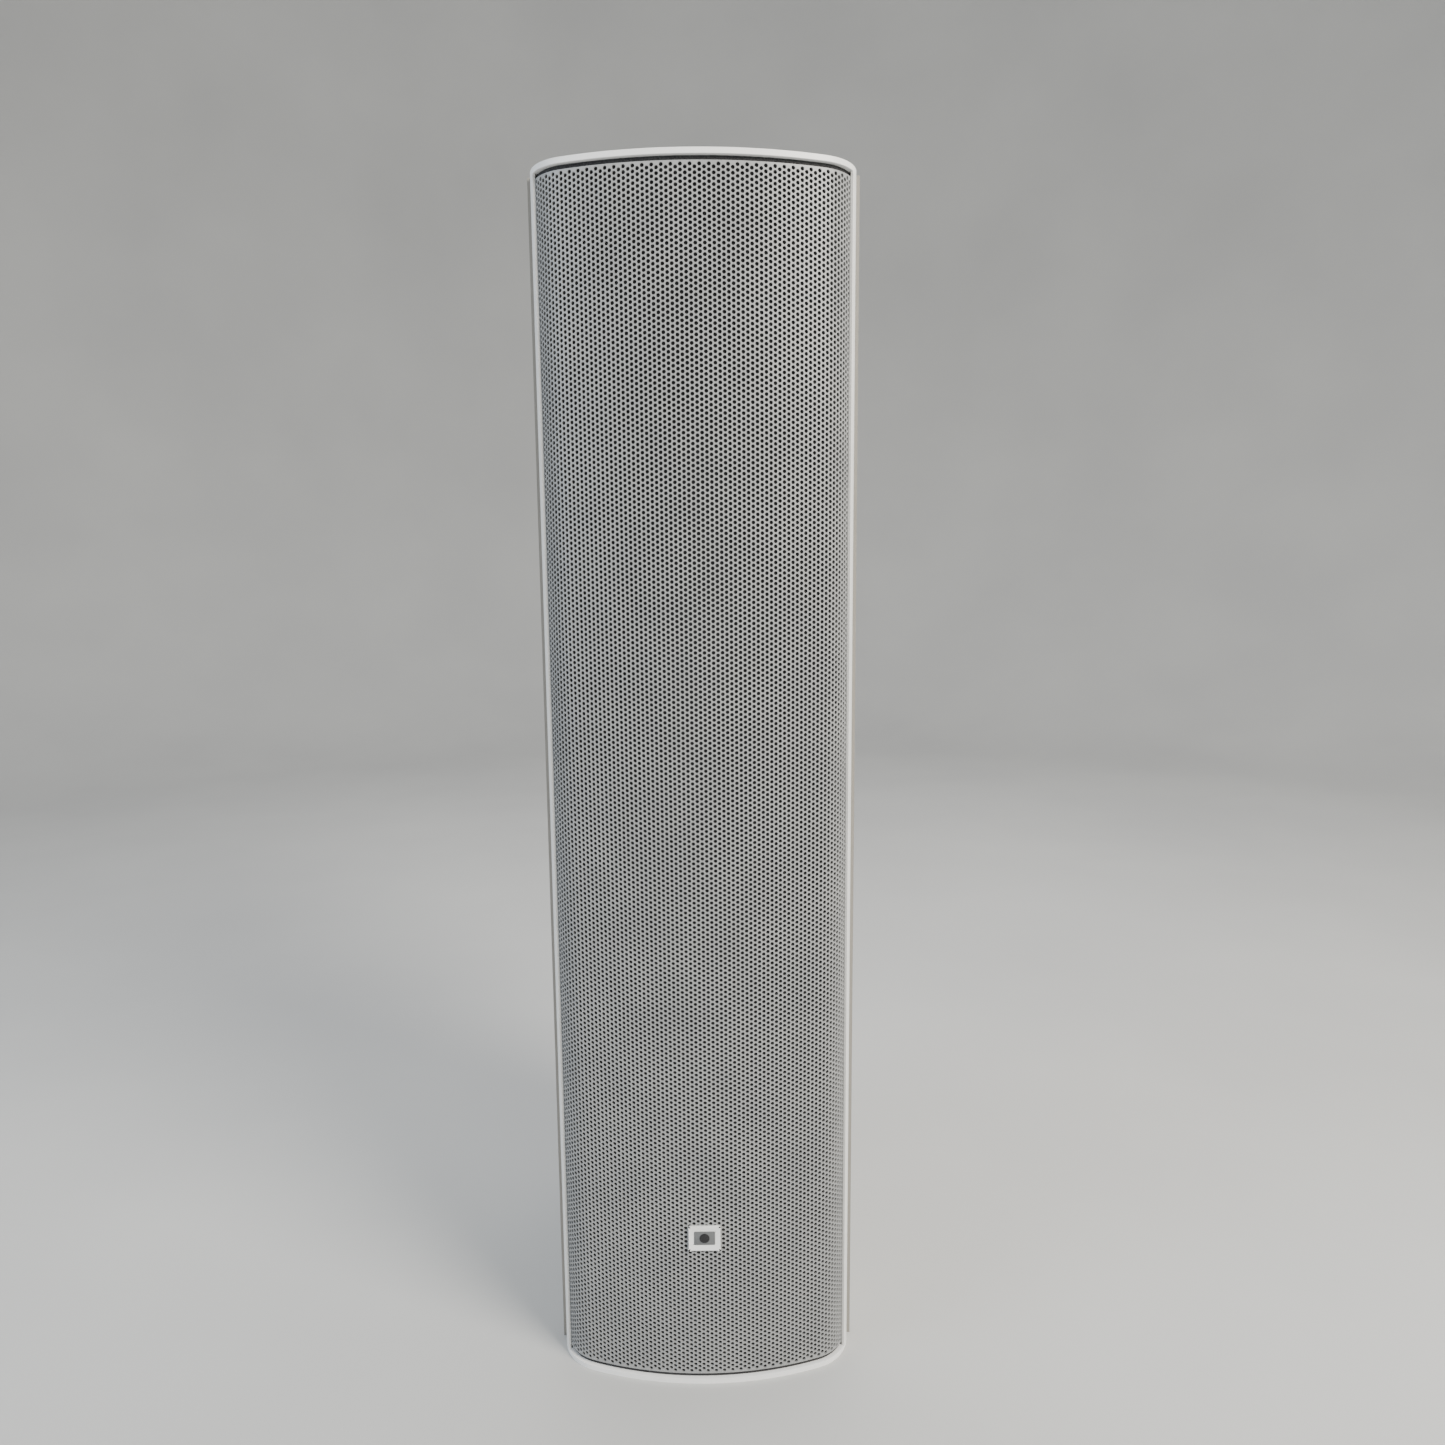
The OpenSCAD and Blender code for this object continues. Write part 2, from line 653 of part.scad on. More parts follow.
module crossover_board() {
    color("#3f6b4a") difference() {
        box([-board_w / 2, board_y - board_t, board_z - board_h / 2],
            [board_w / 2, board_y, board_z + board_h / 2]);
        for (u = [-1, 1], v = [-1, 1]) on_board(u * (board_w / 2 - 5), v * (board_h / 2 - 5))
            translate([0, 0, -board_t - 1]) cylinder(r = 1.6, h = board_t + 2);
    }
}

coil_places = [[-24, 34, 20], [24, 34, 20], [-24, -7, 18]];
module crossover_coils() {
    color("#b5652b") for (c = coil_places) on_board(c[0], c[1]) union() {
        ring(c[2], 7, 2);
        translate([0, 0, 1.5]) ring(c[2] - 1.5, 7, 19);
        translate([0, 0, 20]) ring(c[2], 7, 2);
    }
}

module crossover_capacitors() {
    color("#2d4f7c") for (c = [[24, 3, 8.5], [24, -15, 8.5], [-22, -34, 7.5], [22, -33, 7.5]])
        on_board(c[0] - 17, c[1]) translate([0, 0, c[2]]) rotate([0, 90, 0]) union() {
            cylinder(r = c[2], h = 34);
            translate([0, 0, -0.8]) cylinder(r = c[2] - 1.5, h = 35.6);
        }
}

module crossover_resistors() {
    color("#e6e4dc") for (u = [-30, 0, 30]) on_board(u, -48) translate([-13, -4.5, 0]) cube([26, 9, 9]);
}

module crossover_standoffs() {
    color("#c9ab5a") for (u = [-1, 1], v = [-1, 1])
        on_board(u * (board_w / 2 - 5), v * (board_h / 2 - 5)) union() {
            translate([0, 0, -board_t - standoff_h]) cylinder(r = 3.5, h = standoff_h);
            translate([0, 0, -board_t - 1]) cylinder(r = 1.5, h = board_t + 2);
            cylinder(r = 3, h = 2);
        }
}

// ---- input panel ----
module panel_box(w, h, y0, y1) {
    box([-w / 2, y0, panel_z - h / 2], [w / 2, y1, panel_z + h / 2]);
}

module switch_slot(x) {
    w = knob[0] + switch_travel + 2 * moving_gap;
    h = knob[1] + 2 * moving_gap;
    x0 = x - knob[0] / 2 - moving_gap;
    box([x0, pocket_floor_y - pocket_wall - 1, switch_z - h / 2],
        [x0 + w, pocket_floor_y + 1, switch_z + h / 2]);
}

module terminal_plate() {
    color(black) difference() {
        union() {
            panel_box(panel_w, panel_h, back_y - panel_t, back_y);
            panel_box(pocket_w, pocket_h, back_y - pocket_depth, back_y - 1);
        }
        panel_box(pocket_w - 2 * pocket_wall, pocket_h - 2 * pocket_wall, pocket_floor_y, back_y + 1);
        panel_screw_places() translate([0, 0, -1]) union() {
            cylinder(r = panel_screw_r + screw_fit, h = panel_t + 2);
            cylinder(r = panel_head_r + 0.15, h = 1 + panel_head_h);
        }
        for (x = [-switch_x, switch_x]) switch_slot(x);
    }
}

module terminal_gasket() {
    color("#303034") difference() {
        panel_box(panel_w, panel_h, back_y - panel_t - panel_gasket_t, back_y - panel_t);
        panel_box(pocket_w + 2 * fit, pocket_h + 2 * fit, back_y - panel_t - 3, back_y);
        panel_screw_places() cylinder(r = panel_screw_r + screw_fit, h = panel_t + 3);
    }
}

module terminal_plate_screws() {
    color("#46474a") panel_screw_places() translate([0, 0, panel_head_h])
        screw(panel_screw_r, 12 + panel_t - panel_head_h, panel_head_r, panel_head_h);
}

bay_w = 13;
bays = 4;
barrier_h = 18;
barrier_z = panel_z + 9;
module bay_places() {
    for (i = [0:bays - 1])
        translate([(i - (bays - 1) / 2) * bay_w, pocket_floor_y + barrier_base, barrier_z])
            rotate([-90, 0, 0]) children();
}

module barrier_strip() {
    w = bays * bay_w;
    color("#151517") difference() {
        union() {
            box([-w / 2 - 5, pocket_floor_y, barrier_z - barrier_h / 2],
                [w / 2 + 5, pocket_floor_y + barrier_base, barrier_z + barrier_h / 2]);
            for (i = [0:bays]) let(x = (i - bays / 2) * bay_w)
                box([x - 0.8, pocket_floor_y + 1, barrier_z - barrier_h / 2],
                    [x + 0.8, pocket_floor_y + barrier_base + 6, barrier_z + barrier_h / 2]);
        }
        bay_places() translate([0, 0, -6]) cylinder(r = 1.55, h = 7);
    }
}

module terminal_screws() {
    color("#c8c8c4") bay_places() union() {
        translate([-5, -5.5, 0]) cube([10, 11, 1.2]);
        translate([0, 0, -5.5]) cylinder(r = 1.5, h = 6);
        translate([0, 0, 1]) difference() {
            cylinder(r = 3.6, h = 2.6);
            translate([-4, -0.5, 1.4]) cube([8, 1, 2]);
        }
    }
}

slider_t = 1.4;
module switch_housings() {
    y1 = pocket_floor_y - pocket_wall;
    cavity = [knob[0] + 4 + switch_travel + 2 * moving_gap, 7.2];
    color("#6b6d70") for (x = [-switch_x, switch_x]) difference() {
        box([x - housing[0] / 2 + switch_travel / 2, y1 - housing[2], switch_z - housing[1] / 2],
            [x + housing[0] / 2 + switch_travel / 2, y1, switch_z + housing[1] / 2]);
        box([x - knob[0] / 2 - 2 - moving_gap, y1 - slider_t - 2 * moving_gap, switch_z - cavity[1] / 2],
            [x - knob[0] / 2 - 2 - moving_gap + cavity[0], y1 + 1, switch_z + cavity[1] / 2]);
    }
}

module slider(x) {
    y1 = pocket_floor_y - pocket_wall - moving_gap;
    union() {
        box([x - knob[0] / 2 - 2, y1 - slider_t, switch_z - 3.2], [x + knob[0] / 2 + 2, y1, switch_z + 3.2]);
        box([x - knob[0] / 2, y1 - 0.5, switch_z - knob[1] / 2],
            [x + knob[0] / 2, pocket_floor_y + 3, switch_z + knob[1] / 2]);
        for (rib = [-2, 0, 2]) box([x + rib - 0.4, pocket_floor_y + 2, switch_z - knob[1] / 2],
            [x + rib + 0.4, pocket_floor_y + 4, switch_z + knob[1] / 2]);
    }
}
module voicing_switch() { color("#d8d8d4") slider(-switch_x); }
module coverage_switch() { color("#d8d8d4") slider(switch_x); }

// ---- wiring: a trunk up the back, a branch to each woofer, a feed to the tweeters ----
loom_r = 2.5;
loom_x = -magnet_r - 8;
loom_y = inner_back_y - 26;
loom_feed_x = -strip_w / 2 - 5;
loom_feed_z = between_z(2) + brace_t / 2 + loom_r + 4;
tag_y = baffle_y + basket_depth - 2;

module run_x(x0, x1, y, z) {
    translate([min(x0, x1), y, z]) rotate([0, 90, 0]) cylinder(r = loom_r, h = abs(x1 - x0));
}
module run_y(x, y0, y1, z) {
    facing_back(x, y0, z) cylinder(r = loom_r, h = y1 - y0);
}
// taped joint where the loom turns or branches
module bend(x, y, z) {
    translate([x, y, z]) sphere(r = loom_r + 0.7);
}

module wiring_loom() {
    low = panel_z - 8;
    high = woofer_z(WOOFERS);
    board_run = board_z - 20;
    board_x = 10 - board_w / 2;
    panel_x = -pocket_w / 2 + 8;
    color("#8c1d18") union() {
        translate([loom_x, loom_y, low]) cylinder(r = loom_r, h = high - low);
        bend(loom_x, loom_y, low);
        run_x(loom_x, panel_x, loom_y, low);
        bend(panel_x, loom_y, low);
        run_y(panel_x, loom_y, back_y - pocket_depth, low);
        bend(loom_x, loom_y, board_run);
        run_x(loom_x, board_x, loom_y, board_run);
        bend(board_x, loom_y, board_run);
        run_y(board_x, loom_y, board_y - board_t, board_run);
        for (n = [1:WOOFERS]) union() {
            bend(loom_x, loom_y, woofer_z(n));
            run_y(loom_x, tag_y, loom_y, woofer_z(n));
        }
        bend(loom_x, loom_y, loom_feed_z);
        run_x(loom_x, loom_feed_x, loom_y, loom_feed_z);
        bend(loom_feed_x, loom_y, loom_feed_z);
        run_y(loom_feed_x, strip_y + strip_t + 6, loom_y, loom_feed_z);
    }
}

rear_shell();
front_baffle();
top_cap();
bottom_cap();
grille();
grille_foam();
badge_plate();
badge_inlay();
baffle_gasket();
baffle_screws();
cap_screws();
internal_braces();
acoustic_wadding();
rear_inserts();
end_inserts();
woofer_gaskets();
woofer_screws();
tweeter_strip();
tweeter_bodies();
tweeter_domes();
strip_screws();
crossover_board();
crossover_coils();
crossover_capacitors();
crossover_resistors();
crossover_standoffs();
terminal_plate();
terminal_gasket();
terminal_plate_screws();
barrier_strip();
terminal_screws();
switch_housings();
voicing_switch();
coverage_switch();
wiring_loom();
for (n = [1:WOOFERS]) {
    woofer_basket(n);
    woofer_magnet(n);
    woofer_cone(n);
    woofer_surround(n);
    woofer_spider(n);
}
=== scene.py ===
from math import acos, asin, cos, radians, sin, sqrt

import bmesh
import bpy
from mathutils import Matrix, Vector


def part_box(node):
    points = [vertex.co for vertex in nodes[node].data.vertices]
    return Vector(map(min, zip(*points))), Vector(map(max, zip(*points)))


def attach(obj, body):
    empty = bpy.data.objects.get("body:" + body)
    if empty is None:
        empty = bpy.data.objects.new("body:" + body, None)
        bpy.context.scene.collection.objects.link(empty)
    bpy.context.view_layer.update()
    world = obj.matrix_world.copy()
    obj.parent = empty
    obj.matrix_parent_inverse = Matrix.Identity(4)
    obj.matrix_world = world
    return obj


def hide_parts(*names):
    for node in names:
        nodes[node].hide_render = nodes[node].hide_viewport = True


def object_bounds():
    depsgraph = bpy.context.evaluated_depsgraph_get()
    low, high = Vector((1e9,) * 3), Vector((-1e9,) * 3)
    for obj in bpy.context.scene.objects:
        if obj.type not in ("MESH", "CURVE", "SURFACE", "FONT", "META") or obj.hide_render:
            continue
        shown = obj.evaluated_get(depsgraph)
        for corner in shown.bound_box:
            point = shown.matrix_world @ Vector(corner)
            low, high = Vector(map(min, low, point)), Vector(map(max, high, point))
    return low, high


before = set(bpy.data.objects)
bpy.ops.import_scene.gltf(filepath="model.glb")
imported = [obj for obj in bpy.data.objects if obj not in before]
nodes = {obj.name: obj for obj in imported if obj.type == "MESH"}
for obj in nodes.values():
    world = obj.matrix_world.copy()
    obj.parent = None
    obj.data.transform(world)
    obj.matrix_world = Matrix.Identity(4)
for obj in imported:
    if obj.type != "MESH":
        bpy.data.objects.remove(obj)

cad_low, cad_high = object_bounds()
mm = 0.001

# ---- camera ----
# A phone's wide lens, held just over half a metre in front of the grille and a little above
# its middle, tipped down and turned a fraction of a degree.
lens = bpy.data.cameras.new("camera")
lens.sensor_width = 36
lens.lens = 27.056
camera = bpy.data.objects.new("camera", lens)
camera.matrix_world = (Matrix.Translation((0.0107, -0.6961, 0.4765))
                       @ Matrix.Rotation(radians(-0.22), 4, "Z")
                       @ Matrix.Rotation(radians(81.81), 4, "X")
                       @ Matrix.Rotation(radians(-0.492), 4, "Z"))
bpy.context.scene.collection.objects.link(camera)
bpy.context.scene.camera = camera


# ---- studio ----
# A pale matt floor that curves up into a round wall, so no horizon shows from any side, a
# warm soft light from the right, a cooler one from the left and pale light from above.
def new_object(bm, name):
    """The finished mesh as an object at the origin."""
    mesh = bpy.data.meshes.new(name)
    bm.to_mesh(mesh)
    bm.free()
    obj = bpy.data.objects.new(name, mesh)
    bpy.context.scene.collection.objects.link(obj)
    return obj


def shade_smooth(obj, sharp=35):
    """Smooth shading, broken at edges that turn by more than sharp degrees."""
    mesh = obj.data
    bm = bmesh.new()
    bm.from_mesh(mesh)
    for face in bm.faces:
        face.smooth = True
    for edge in bm.edges:
        edge.smooth = not edge.is_manifold or edge.calc_face_angle(0) < radians(sharp)
    bm.to_mesh(mesh)
    bm.free()
    return obj


def new_material(name, roughness, metallic=0.0):
    material = bpy.data.materials.new(name)
    material.use_nodes = True
    shader = material.node_tree.nodes["Principled BSDF"]
    shader.inputs["Roughness"].default_value = roughness
    shader.inputs["Metallic"].default_value = metallic
    return material


def pattern(material, kind, size, centre=(0, 0, 0), turn=(0, 0, 0), output="Fac", **inputs):
    """A texture in the piece's own metres: size is one repeat along each axis, about centre."""
    tree = material.node_tree
    coords = tree.nodes.new("ShaderNodeTexCoord")
    place = tree.nodes.new("ShaderNodeMapping")
    place.vector_type = "TEXTURE"
    place.inputs["Location"].default_value = centre
    place.inputs["Rotation"].default_value = [radians(a) for a in turn]
    place.inputs["Scale"].default_value = (size,) * 3 if isinstance(size, float) else size
    texture = tree.nodes.new("ShaderNodeTex" + kind)
    if kind != "Gradient":
        texture.inputs["Scale"].default_value = 1
    for name, value in inputs.items():
        texture.inputs[name.replace("_", " ")].default_value = value
    tree.links.new(coords.outputs["Object"], place.inputs["Vector"])
    tree.links.new(place.outputs["Vector"], texture.inputs["Vector"])
    return texture.outputs[output]


def tint(material, value, *stops):
    """Base colour from a texture's value; each stop is a position and a linear colour."""
    tree = material.node_tree
    ramp = tree.nodes.new("ShaderNodeValToRGB")
    for _ in stops[2:]:
        ramp.color_ramp.elements.new(0.5)
    for element, (position, colour) in zip(ramp.color_ramp.elements, stops):
        element.position = position
        element.color = (*colour, 1)
    tree.links.new(value, ramp.inputs["Fac"])
    shader = tree.nodes["Principled BSDF"].inputs["Base Color"]
    if not shader.links:
        tree.links.new(ramp.outputs["Color"], shader)
        return material
    both = tree.nodes.new("ShaderNodeMix")
    both.data_type = "RGBA"
    both.blend_type = "MULTIPLY"
    both.inputs["Factor"].default_value = 1
    tree.links.new(shader.links[0].from_socket, both.inputs["A"])
    tree.links.new(ramp.outputs["Color"], both.inputs["B"])
    tree.links.new(both.outputs["Result"], shader)
    return material


def relief(material, value, depth):
    """Bump of a real depth, laid over any bump that is there."""
    tree = material.node_tree
    bump = tree.nodes.new("ShaderNodeBump")
    bump.inputs["Distance"].default_value = depth
    normal = tree.nodes["Principled BSDF"].inputs["Normal"]
    if normal.links:
        tree.links.new(normal.links[0].from_socket, bump.inputs["Normal"])
    tree.links.new(value, bump.inputs["Height"])
    tree.links.new(bump.outputs["Normal"], normal)


def gloss(material, value, low, high):
    """Roughness that runs from low to high with a texture's value."""
    tree = material.node_tree
    spread = tree.nodes.new("ShaderNodeMapRange")
    spread.inputs["To Min"].default_value = low
    spread.inputs["To Max"].default_value = high
    tree.links.new(value, spread.inputs["Value"])
    tree.links.new(spread.outputs["Result"], tree.nodes["Principled BSDF"].inputs["Roughness"])


floor_paint = new_material("floor_paint", 0.9)
tint(floor_paint, pattern(floor_paint, "Noise", 0.35, Detail=4.0),
     (0.3, (0.46, 0.46, 0.455)), (0.7, (0.50, 0.50, 0.49)))

floor_r = 3.0
wall_h = 3.0
bend_r = 0.9
bm = bmesh.new()
profile = [(0, 0), (floor_r - bend_r, 0)]
profile += [(floor_r - bend_r + bend_r * sin(radians(a)), bend_r - bend_r * cos(radians(a)))
            for a in range(10, 91, 10)]
profile += [(floor_r, wall_h)]
line = [bm.verts.new((x, 0, z)) for x, z in profile]
for a, b in zip(line, line[1:]):
    bm.edges.new((a, b))
bmesh.ops.spin(bm, geom=bm.verts[:] + bm.edges[:], cent=(0, 0, 0), axis=(0, 0, 1),
               angle=radians(360), steps=72, use_merge=True)
bmesh.ops.remove_doubles(bm, verts=bm.verts[:], dist=0.0001)
bmesh.ops.recalc_face_normals(bm, faces=bm.faces[:])
if min(bm.faces, key=lambda f: f.calc_center_median().length).normal.z < 0:
    bmesh.ops.reverse_faces(bm, faces=bm.faces[:])
studio = shade_smooth(new_object(bm, "studio_floor"))
studio.data.materials.append(floor_paint)


def soft_light(name, place, aim, size, power, colour):
    light = bpy.data.lights.new(name, "AREA")
    light.shape = "DISK"
    light.size = size
    light.energy = power
    light.color = colour
    obj = bpy.data.objects.new(name, light)
    obj.location = place
    obj.rotation_euler = (Vector(aim) - Vector(place)).to_track_quat("-Z", "Y").to_euler()
    bpy.context.scene.collection.objects.link(obj)


middle = (cad_low + cad_high) / 2
soft_light("key", (1.35, -1.30, 1.5), middle, 1.1, 84, (1.0, 0.955, 0.87))
soft_light("fill", (-1.6, -0.9, 0.9), middle, 1.4, 20, (0.74, 0.86, 1.0))
soft_light("top", (0.1, 0.5, 2.1), middle, 1.6, 28, (1.0, 1.0, 1.0))
world = bpy.data.worlds.new("studio_air")
world.use_nodes = True
world.node_tree.nodes["Background"].inputs["Color"].default_value = (0.93, 0.96, 1.0, 1)
world.node_tree.nodes["Background"].inputs["Strength"].default_value = 0.6
bpy.context.scene.world = world


# ---- rear shell ----
# The cabinet's back and sides, one white moulding. Its edges are rounded by the tool, and it
# is painted with a fine textured white, with painted shade darkening it by the seam with the baffle.
def softened(node, width, material, segments=3, body="cabinet", sharp=38):
    """A copy of a CAD node with its edges rounded by width, which then stands for the node."""
    bm = bmesh.new()
    bm.from_mesh(nodes[node].data)
    bmesh.ops.remove_doubles(bm, verts=bm.verts[:], dist=0.002 * mm)
    bmesh.ops.dissolve_limit(bm, angle_limit=radians(0.6), use_dissolve_boundaries=False,
                             verts=bm.verts[:], edges=bm.edges[:], delimit=set())
    piece = shade_smooth(new_object(bm, node + "_finished"), sharp)
    piece.data.materials.append(material)
    bevel = piece.modifiers.new("rounded_edges", "BEVEL")
    bevel.width = width
    bevel.segments = segments
    bevel.limit_method = "ANGLE"
    bevel.angle_limit = radians(sharp)
    bevel.use_clamp_overlap = True
    bevel.harden_normals = True
    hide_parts(node)
    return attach(piece, body)


def textured_paint(name, shade):
    """Satin paint over a fine moulded grain, with faint handling marks."""
    paint = new_material(name, 0.42)
    marks = pattern(paint, "Noise", 0.045, Detail=6.0, Roughness=0.62, Distortion=0.6)
    tint(paint, marks, (0.30, [c * 0.93 for c in shade]), (0.46, shade), (1.0, shade))
    relief(paint, pattern(paint, "Noise", 0.9 * mm, Detail=3.0, Roughness=0.55), 0.035 * mm)
    gloss(paint, marks, 0.36, 0.5)
    return paint


def painted_seam_shade(material, start, size, dark):
    """Painted shade in a seam: dark at start, plain once size further back."""
    fade = pattern(material, "Gradient", size, (0, start, 0), turn=(0, 0, 90))
    tint(material, fade, (0.0, dark), (1.0, (1, 1, 1)))


shell_paint = textured_paint("shell_paint", (0.74, 0.74, 0.725))
# Painted shade: the shell is darkened by the seam with the baffle's lips, fading out over 5 mm.
painted_seam_shade(shell_paint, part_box("top_cap")[1].y, 5 * mm, (0.36, 0.34, 0.31))
softened("rear_shell", 1.2 * mm, shell_paint)

# ---- front baffle ----
# The moulding that carries the drivers. Only its two side lips show, as thin white edges that
# trap the grille's sides.
white_paint = textured_paint("white_paint", (0.82, 0.82, 0.805))
softened("front_baffle", 0.35 * mm, white_paint, 2)

# ---- end caps ----
# Two thin white covers, screwed up from inside the ends. Each has a softly rounded rim that
# stands just proud of the grille.
white_moulding = textured_paint("white_moulding", (0.90, 0.90, 0.89))
for cap in ("top_cap", "bottom_cap"):
    softened(cap, 0.9 * mm, white_moulding, 4)

# ---- grille ----
# One steel sheet, punched all over with small staggered holes, bent round the front and
# powder-coated white, its coat painted a mid grey as painted shade. It is made as five bands that meet
# edge to edge.
front_r = 196 * mm
corner_r = 29 * mm
grille_inset = 1.5 * mm
sheet_t = 1.0 * mm
edge_gap = 4.6 * mm      # from the grille's side edge forward to the corner's centre
hole_r = 1.1 * mm
plain_edge = 0.4 * mm
bands = 5
band_rows = 48

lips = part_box("front_baffle")
cap_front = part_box("top_cap")[0].y
sheet_low, sheet_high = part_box("grille")
half_w = lips[1].x
corner_x = half_w - corner_r
turn = asin(corner_x / (front_r - corner_r))
bow_y = cap_front + front_r
corner_y = bow_y - sqrt((front_r - corner_r) ** 2 - corner_x ** 2)
face_r = front_r - grille_inset
side_r = corner_r - grille_inset
end_turn = acos(edge_gap / side_r)
half_u = face_r * turn + side_r * (end_turn - turn)

rows = bands * band_rows
pitch = (sheet_high.z - sheet_low.z - 2 * plain_edge) / (rows + 0.5)
cell_r = pitch / sqrt(3)
column_step = 1.5 * cell_r
columns = int(((half_u - cell_r) / column_step) + 0.5) * 2


def repeat(bm, count, step):
    """Copies all that bm holds count times in all, each copy a step further on."""
    first = bm.verts[:] + bm.edges[:] + bm.faces[:]
    for i in range(1, count):
        copy = bmesh.ops.duplicate(bm, geom=first)["geom"]
        moved = [v for v in copy if isinstance(v, bmesh.types.BMVert)]
        bmesh.ops.translate(bm, vec=Vector(step) * i, verts=moved)


def punched_field():
    """One band laid flat: six-sided cells with a round hole each, in staggered columns."""
    bm = bmesh.new()
    bmesh.ops.create_circle(bm, radius=cell_r, segments=6, matrix=Matrix.Rotation(radians(90), 4, "Z"))
    for edge in bm.edges:
        edge.seam = True
    bmesh.ops.create_circle(bm, radius=hole_r, segments=8, matrix=Matrix.Rotation(radians(22.5), 4, "Z"))
    bmesh.ops.bridge_loops(bm, edges=bm.edges[:])
    bmesh.ops.translate(bm, vec=(column_step * (1 - columns) / 2, pitch / 2, 0), verts=bm.verts[:])
    repeat(bm, band_rows, (0, pitch, 0))
    repeat(bm, 2, (column_step, pitch / 2, 0))
    repeat(bm, columns // 2, (2 * column_step, 0, 0))
    bmesh.ops.remove_doubles(bm, verts=bm.verts[:], dist=0.01 * mm)
    mesh = bpy.data.meshes.new("punched_field")
    bm.to_mesh(mesh)
    bm.free()
    return mesh


def bent(u, z):
    """Where a point of the flat sheet lies once it is bent round the front."""
    side = 1 if u > 0 else -1
    along = abs(u)
    if along <= face_r * turn:
        a = u / face_r
        return face_r * sin(a), bow_y - face_r * cos(a), z
    a = turn + (along - face_r * turn) / side_r
    return side * (corner_x + side_r * sin(a)), corner_y - side_r * cos(a), z


# Painted shade: the coat is a mid grey rather than the caps' white, to stand for the shade across the
# perforated sheet.
grille_coat = new_material("grille_coat", 0.4)
grain = pattern(grille_coat, "Noise", 30 * mm, Detail=5.0, Roughness=0.6)
tint(grille_coat, grain, (0.3, (0.28, 0.285, 0.29)), (0.7, (0.33, 0.335, 0.335)))
relief(grille_coat, pattern(grille_coat, "Noise", 0.35 * mm, Detail=2.0), 0.02 * mm)
gloss(grille_coat, grain, 0.34, 0.46)

field = punched_field()
for band in range(bands):
    low = sheet_low.z + plain_edge + band * band_rows * pitch
    bm = bmesh.new()
    bm.from_mesh(field)
    borders = [e for e in bm.edges if e.seam and e.is_boundary]
    ends = []
    if band == 0:
        first = [e for e in borders if max(v.co.y for v in e.verts) < 0.7 * pitch]
        ends.append((sheet_low.z - low, first))
    if band == bands - 1:
        top = band_rows * pitch
        last = [e for e in borders if min(v.co.y for v in e.verts) > top - 0.2 * pitch]
        ends.append((sheet_high.z - low, last))
    for z, edges in ends:
        made = bmesh.ops.extrude_edge_only(bm, edges=edges)["geom"]
        for v in made:
            if isinstance(v, bmesh.types.BMVert):
                v.co.y = z
    for v in bm.verts:
        v.co = bent(v.co.x, v.co.y + low)
    bm.normal_update()
    facing = [f for f in bm.faces if abs(f.calc_center_median().x) < 5 * mm]
    if sum(f.normal.y for f in facing) > 0:
        bmesh.ops.reverse_faces(bm, faces=bm.faces[:])
    bmesh.ops.solidify(bm, geom=bm.faces[:], thickness=sheet_t)
    sheet = shade_smooth(new_object(bm, f"grille_sheet_{band + 1}"), 30)
    sheet.data.materials.append(grille_coat)
    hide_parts("grille")
    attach(sheet, "cabinet")
bpy.data.meshes.remove(field)


# ---- foam behind the grille ----
# A thin sheet of black open-cell foam, cut to the grille's bend and pressed against it.
def finish(node, material):
    """Gives a CAD node its finish."""
    for slot in nodes[node].material_slots:
        slot.material = material


black_foam = new_material("black_foam", 0.95)
cells = pattern(black_foam, "Voronoi", 0.7 * mm, output="Distance")
tint(black_foam, cells, (0.0, (0.006, 0.006, 0.007)), (0.7, (0.04, 0.04, 0.042)))
relief(black_foam, cells, 0.4 * mm)
finish("grille_foam", black_foam)

# ---- badge ----
# A small white plastic frame glued to the grille, with a grey plate set in it. The plate
# carries a plain raised dot.
badge_low, badge_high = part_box("badge_plate")
inlay_low, inlay_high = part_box("badge_inlay")


def block(low, high):
    """A box from its lowest to its highest corner."""
    bm = bmesh.new()
    size = Matrix.Diagonal((*(high - low), 1))
    bmesh.ops.create_cube(bm, size=1, matrix=Matrix.Translation((low + high) / 2) @ size)
    return bm


def round_edges(bm, edges, width, segments=3):
    bmesh.ops.bevel(bm, geom=edges, offset=width, segments=segments, profile=0.5,
                    affect="EDGES", material=-1)


def edges_along(bm, axis):
    """The edges of a block that run along one axis, 0 to 2."""
    return [e for e in bm.edges if abs((e.verts[0].co - e.verts[1].co).normalized()[axis]) > 0.99]


def front_face(bm):
    return min(bm.faces, key=lambda f: f.calc_center_median().y)


def place(obj, material, slot, replaced, body="cabinet"):
    """Gives a new piece its finish, the CAD nodes that it stands for and its body."""
    obj.data.materials.append(material)
    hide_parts(*replaced)
    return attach(obj, body)


bm = block(badge_low, badge_high)
round_edges(bm, edges_along(bm, 1), 1.1 * mm, 5)
rim = front_face(bm)
bmesh.ops.inset_region(bm, faces=[rim], thickness=inlay_low.x - badge_low.x - 0.1 * mm)
bmesh.ops.translate(bm, vec=(0, 0.7 * mm, 0), verts=rim.verts)
round_edges(bm, [e for e in bm.edges if e.calc_face_angle(0) > radians(50)], 0.22 * mm, 3)
badge = shade_smooth(new_object(bm, "badge_frame"), 50)
place(badge, white_moulding, "white_moulding", ["badge_plate"])

